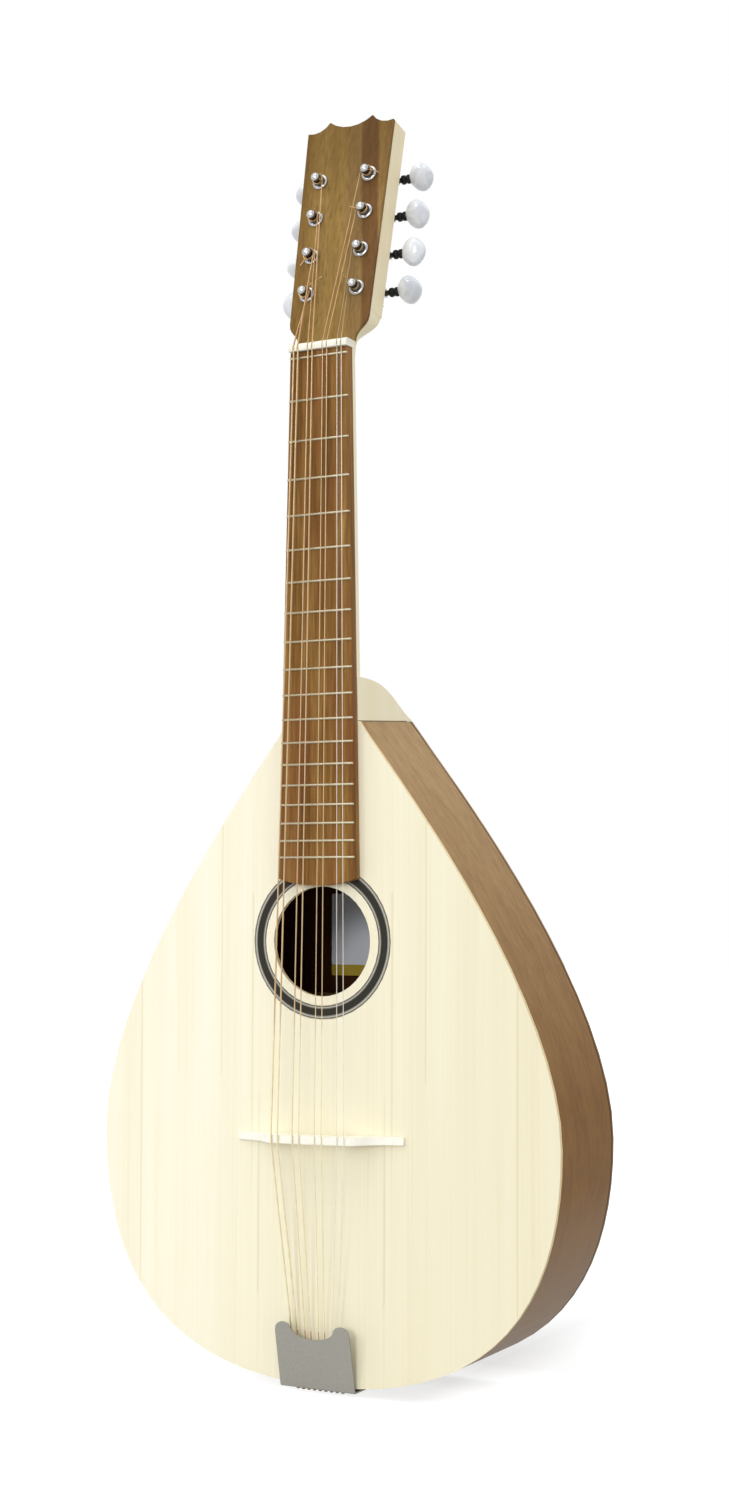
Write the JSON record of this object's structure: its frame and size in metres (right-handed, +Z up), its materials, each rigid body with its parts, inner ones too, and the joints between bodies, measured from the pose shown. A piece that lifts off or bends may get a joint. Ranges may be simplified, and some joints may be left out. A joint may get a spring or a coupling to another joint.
{
  "type": "mandola",
  "caption": "Flat-backed teardrop mandola with double courses, a floating bridge, a bent tailpiece and worm-geared machine heads that turn.",
  "frame": {"origin": "where a wall hanger's yoke carries it: middle of the neck at the zero fret, in the plane of the soundboard", "axes": "+Z up the neck towards the head, +X to the right as seen from the front, the soundboard faces -Y"},
  "size_m": [0.2742, 0.0882, 0.6969],
  "materials": {
    "spruce": "bare, fine straight grain",
    "walnut": "satin",
    "head_veneer": "satin",
    "pale_wood": "satin",
    "fingerboard_wood": "oiled",
    "inner_wood": "raw",
    "bone": "polished",
    "rosette_inlay": "inlaid lines",
    "grey_metal": "matt grey",
    "nickel": "plated",
    "chrome": "polished",
    "brass": "turned",
    "pearl": "pearloid",
    "bronze_string": "wound",
    "steel_string": "plain"
  },
  "bodies": {
    "root": {"soundboard": "spruce", "back_plate": "walnut", "rib_left": "walnut", "rib_right": "walnut", "lining_front": "inner_wood", "lining_back": "inner_wood", "tail_block": "inner_wood", "top_brace_1": "inner_wood", "top_brace_2": "inner_wood", "back_brace_1": "inner_wood", "back_brace_2": "inner_wood", "rosette": "rosette_inlay", "neck": "pale_wood", "headplate": "head_veneer", "fingerboard": "fingerboard_wood", "nut": "bone", "bridge": "bone", "tailpiece": "grey_metal", "tuner_plate_left": "nickel", "tuner_plate_right": "nickel", "string_1": "bronze_string", "string_2": "bronze_string", "string_3": "bronze_string", "string_4": "bronze_string", "string_5": "bronze_string", "string_6": "bronze_string", "string_7": "steel_string", "string_8": "steel_string", "bushing_left_1": "chrome", "bushing_left_2": "chrome", "bushing_left_3": "chrome", "bushing_left_4": "chrome", "bushing_right_1": "chrome", "bushing_right_2": "chrome", "bushing_right_3": "chrome", "bushing_right_4": "chrome"},
    "key_left_1": {"worm_shaft_left_1": "brass", "button_left_1": "pearl"},
    "post_left_1": {"string_post_left_1": "chrome"},
    "key_left_2": {"worm_shaft_left_2": "brass", "button_left_2": "pearl"},
    "post_left_2": {"string_post_left_2": "chrome"},
    "key_left_3": {"worm_shaft_left_3": "brass", "button_left_3": "pearl"},
    "post_left_3": {"string_post_left_3": "chrome"},
    "key_left_4": {"worm_shaft_left_4": "brass", "button_left_4": "pearl"},
    "post_left_4": {"string_post_left_4": "chrome"},
    "key_right_1": {"worm_shaft_right_1": "brass", "button_right_1": "pearl"},
    "post_right_1": {"string_post_right_1": "chrome"},
    "key_right_2": {"worm_shaft_right_2": "brass", "button_right_2": "pearl"},
    "post_right_2": {"string_post_right_2": "chrome"},
    "key_right_3": {"worm_shaft_right_3": "brass", "button_right_3": "pearl"},
    "post_right_3": {"string_post_right_3": "chrome"},
    "key_right_4": {"worm_shaft_right_4": "brass", "button_right_4": "pearl"},
    "post_right_4": {"string_post_right_4": "chrome"}
  },
  "joints": [
    {"name": "key_turn_left_1", "type": "hinge", "parent": "root", "child": "key_left_1", "pos_m": [-0.0155, 0.03154, 0.04123], "axis": [1, 0, 0], "continuous": true},
    {"name": "post_turn_left_1", "type": "hinge", "parent": "root", "child": "post_left_1", "pos_m": [-0.0155, 0.00863, 0.03925], "axis": [0, -0.9781, 0.2079], "continuous": true},
    {"name": "key_turn_left_2", "type": "hinge", "parent": "root", "child": "key_left_2", "pos_m": [-0.0155, 0.03637, 0.06392], "axis": [1, 0, 0], "continuous": true},
    {"name": "post_turn_left_2", "type": "hinge", "parent": "root", "child": "post_left_2", "pos_m": [-0.0155, 0.01345, 0.06194], "axis": [0, -0.9781, 0.2079], "continuous": true},
    {"name": "key_turn_left_3", "type": "hinge", "parent": "root", "child": "key_left_3", "pos_m": [-0.0155, 0.04119, 0.08662], "axis": [1, 0, 0], "continuous": true},
    {"name": "post_turn_left_3", "type": "hinge", "parent": "root", "child": "post_left_3", "pos_m": [-0.0155, 0.01828, 0.08464], "axis": [0, -0.9781, 0.2079], "continuous": true},
    {"name": "key_turn_left_4", "type": "hinge", "parent": "root", "child": "key_left_4", "pos_m": [-0.0155, 0.04601, 0.10931], "axis": [1, 0, 0], "continuous": true},
    {"name": "post_turn_left_4", "type": "hinge", "parent": "root", "child": "post_left_4", "pos_m": [-0.0155, 0.0231, 0.10733], "axis": [0, -0.9781, 0.2079], "continuous": true},
    {"name": "key_turn_right_1", "type": "hinge", "parent": "root", "child": "key_right_1", "pos_m": [0.0155, 0.03154, 0.04123], "axis": [1, 0, 0], "continuous": true},
    {"name": "post_turn_right_1", "type": "hinge", "parent": "root", "child": "post_right_1", "pos_m": [0.0155, 0.00863, 0.03925], "axis": [0, -0.9781, 0.2079], "continuous": true},
    {"name": "key_turn_right_2", "type": "hinge", "parent": "root", "child": "key_right_2", "pos_m": [0.0155, 0.03637, 0.06392], "axis": [1, 0, 0], "continuous": true},
    {"name": "post_turn_right_2", "type": "hinge", "parent": "root", "child": "post_right_2", "pos_m": [0.0155, 0.01345, 0.06194], "axis": [0, -0.9781, 0.2079], "continuous": true},
    {"name": "key_turn_right_3", "type": "hinge", "parent": "root", "child": "key_right_3", "pos_m": [0.0155, 0.04119, 0.08662], "axis": [1, 0, 0], "continuous": true},
    {"name": "post_turn_right_3", "type": "hinge", "parent": "root", "child": "post_right_3", "pos_m": [0.0155, 0.01828, 0.08464], "axis": [0, -0.9781, 0.2079], "continuous": true},
    {"name": "key_turn_right_4", "type": "hinge", "parent": "root", "child": "key_right_4", "pos_m": [0.0155, 0.04601, 0.10931], "axis": [1, 0, 0], "continuous": true},
    {"name": "post_turn_right_4", "type": "hinge", "parent": "root", "child": "post_right_4", "pos_m": [0.0155, 0.0231, 0.10733], "axis": [0, -0.9781, 0.2079], "continuous": true}
  ],
  "couplings": [
    {"joint": "post_turn_left_1", "follows": "key_turn_left_1", "ratio": 0.071429},
    {"joint": "post_turn_left_2", "follows": "key_turn_left_2", "ratio": 0.071429},
    {"joint": "post_turn_left_3", "follows": "key_turn_left_3", "ratio": 0.071429},
    {"joint": "post_turn_left_4", "follows": "key_turn_left_4", "ratio": 0.071429},
    {"joint": "post_turn_right_1", "follows": "key_turn_right_1", "ratio": 0.071429},
    {"joint": "post_turn_right_2", "follows": "key_turn_right_2", "ratio": 0.071429},
    {"joint": "post_turn_right_3", "follows": "key_turn_right_3", "ratio": 0.071429},
    {"joint": "post_turn_right_4", "follows": "key_turn_right_4", "ratio": 0.071429}
  ]
}
